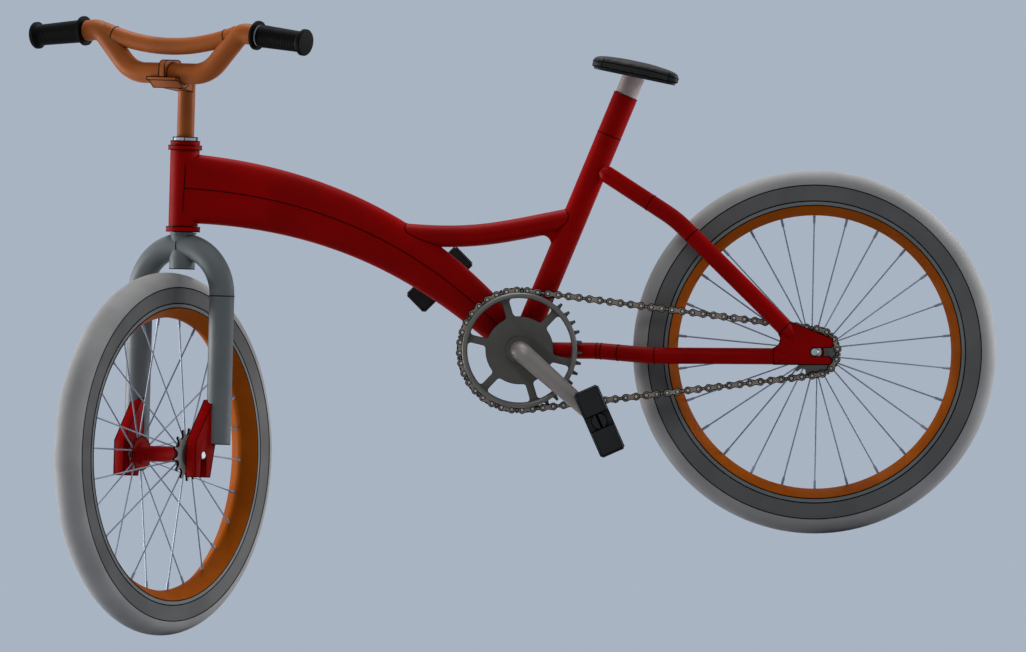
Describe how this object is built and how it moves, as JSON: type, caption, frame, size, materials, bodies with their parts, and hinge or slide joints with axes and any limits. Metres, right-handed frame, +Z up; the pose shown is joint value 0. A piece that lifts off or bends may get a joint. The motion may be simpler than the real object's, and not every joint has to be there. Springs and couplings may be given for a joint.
{
  "type": "children's bicycle",
  "caption": "Child's bicycle with an oval curved main tube, oval-arch fork, raised handlebar with crossbar, block pedals and a left-hand chain drive.",
  "frame": {"origin": "on the floor, in the frame's centre plane, straight below the crank axle", "axes": "+Z up; the bicycle faces -X; its left side, which carries the chain, faces -Y"},
  "size_m": [1.161, 0.3735, 0.7633],
  "materials": {
    "red_enamel": "gloss enamel",
    "copper_enamel": "satin copper-orange enamel",
    "grey_enamel": "satin blue-grey enamel",
    "orange_enamel": "satin orange enamel",
    "brushed_post": "brushed",
    "bright_steel": "zinc plated",
    "dark_steel": "dark phosphate",
    "forged_steel": "plated forging",
    "chain_steel": "oiled",
    "tyre_rubber": "smooth light grey",
    "butyl_rubber": "matt",
    "black_rubber": "matt",
    "black_plastic": "moulded",
    "saddle_vinyl": "smooth vinyl over foam"
  },
  "bodies": {
    "frame": {"head_tube": "red_enamel", "main_tube_upper": "red_enamel", "main_tube_lower": "red_enamel", "strut": "red_enamel", "seat_tube": "red_enamel", "seat_tube_sleeve": "red_enamel", "bracket_shell": "red_enamel", "seat_stay_left": "red_enamel", "seat_stay_right": "red_enamel", "chainstay_left": "red_enamel", "chainstay_right": "red_enamel", "rear_dropout_left": "red_enamel", "rear_dropout_right": "red_enamel", "headset_upper_bearing": "red_enamel", "headset_lower_bearing": "red_enamel", "bracket_bearing_left": "bright_steel", "bracket_bearing_right": "bright_steel", "rear_axle": "bright_steel", "chain": "chain_steel"},
    "fork_assembly": {"steerer": "grey_enamel", "fork": "grey_enamel", "fork_dropout_left": "red_enamel", "fork_dropout_right": "red_enamel", "front_axle": "bright_steel", "headset_adjusting_race": "red_enamel", "headset_locknut": "bright_steel"},
    "bars": {"stem": "copper_enamel", "stem_strap": "copper_enamel", "stem_bolt_and_wedge": "bright_steel", "handlebar": "copper_enamel", "crossbar": "copper_enamel", "grip_left": "black_rubber", "grip_right": "black_rubber", "grip_ring_left": "bright_steel", "grip_ring_right": "bright_steel"},
    "front_wheel": {"front_tyre": "tyre_rubber", "front_inner_tube": "butyl_rubber", "front_rim": "orange_enamel", "front_hub_and_spokes": "red_enamel", "front_hub_balls_left": "bright_steel", "front_hub_balls_right": "bright_steel", "front_sprocket": "dark_steel"},
    "rear_wheel": {"rear_tyre": "tyre_rubber", "rear_inner_tube": "butyl_rubber", "rear_rim": "orange_enamel", "rear_hub_and_spokes": "red_enamel", "rear_hub_balls_left": "bright_steel", "rear_hub_balls_right": "bright_steel"},
    "rear_driver": {"rear_sprocket": "dark_steel"},
    "crankset": {"crank": "forged_steel", "chainring": "dark_steel", "guard_ring": "forged_steel", "pedal_spindle_left": "bright_steel", "pedal_spindle_right": "bright_steel"},
    "left_pedal": {"pedal_left": "black_plastic"},
    "right_pedal": {"pedal_right": "black_plastic"},
    "seat": {"seat_post": "brushed_post", "saddle_base": "black_plastic", "saddle_pad": "saddle_vinyl"}
  },
  "joints": [
    {"name": "steering", "type": "hinge", "parent": "frame", "child": "fork_assembly", "pos_m": [-0.382, 0, 0.49], "axis": [0.1785, 0, 0.9839], "range_deg": [-146, 34]},
    {"name": "stem_height", "type": "slide", "parent": "fork_assembly", "child": "bars", "axis": [0.1785, 0, 0.9839], "range_m": [-0.02, 0.03]},
    {"name": "front_wheel_spin", "type": "hinge", "parent": "fork_assembly", "child": "front_wheel", "pos_m": [-0.44832, -0.02517, 0.21982], "axis": [0.8148, -0.5606, -0.1478], "continuous": true},
    {"name": "rear_wheel_spin", "type": "hinge", "parent": "frame", "child": "rear_wheel", "pos_m": [0.3547, 0, 0.22205], "axis": [0, -1, 0], "continuous": true},
    {"name": "crank_spin", "type": "hinge", "parent": "frame", "child": "crankset", "pos_m": [0, 0, 0.2787], "axis": [0, -1, 0], "continuous": true, "deforming": ["chain"]},
    {"name": "rear_sprocket_spin", "type": "hinge", "parent": "frame", "child": "rear_driver", "pos_m": [0.3547, 0, 0.22205], "axis": [0, -1, 0], "continuous": true},
    {"name": "left_pedal_spin", "type": "hinge", "parent": "crankset", "child": "left_pedal", "pos_m": [0.08286, -0.116, 0.17853], "axis": [0, -1, 0], "continuous": true},
    {"name": "right_pedal_spin", "type": "hinge", "parent": "crankset", "child": "right_pedal", "pos_m": [-0.08286, 0.116, 0.37887], "axis": [0, -1, 0], "continuous": true},
    {"name": "seat_height", "type": "slide", "parent": "frame", "child": "seat", "axis": [0.521, 0, 0.8536], "range_m": [-0.015, 0.07]}
  ],
  "couplings": [
    {"joint": "rear_sprocket_spin", "follows": "crank_spin", "ratio": 2.5714}
  ]
}
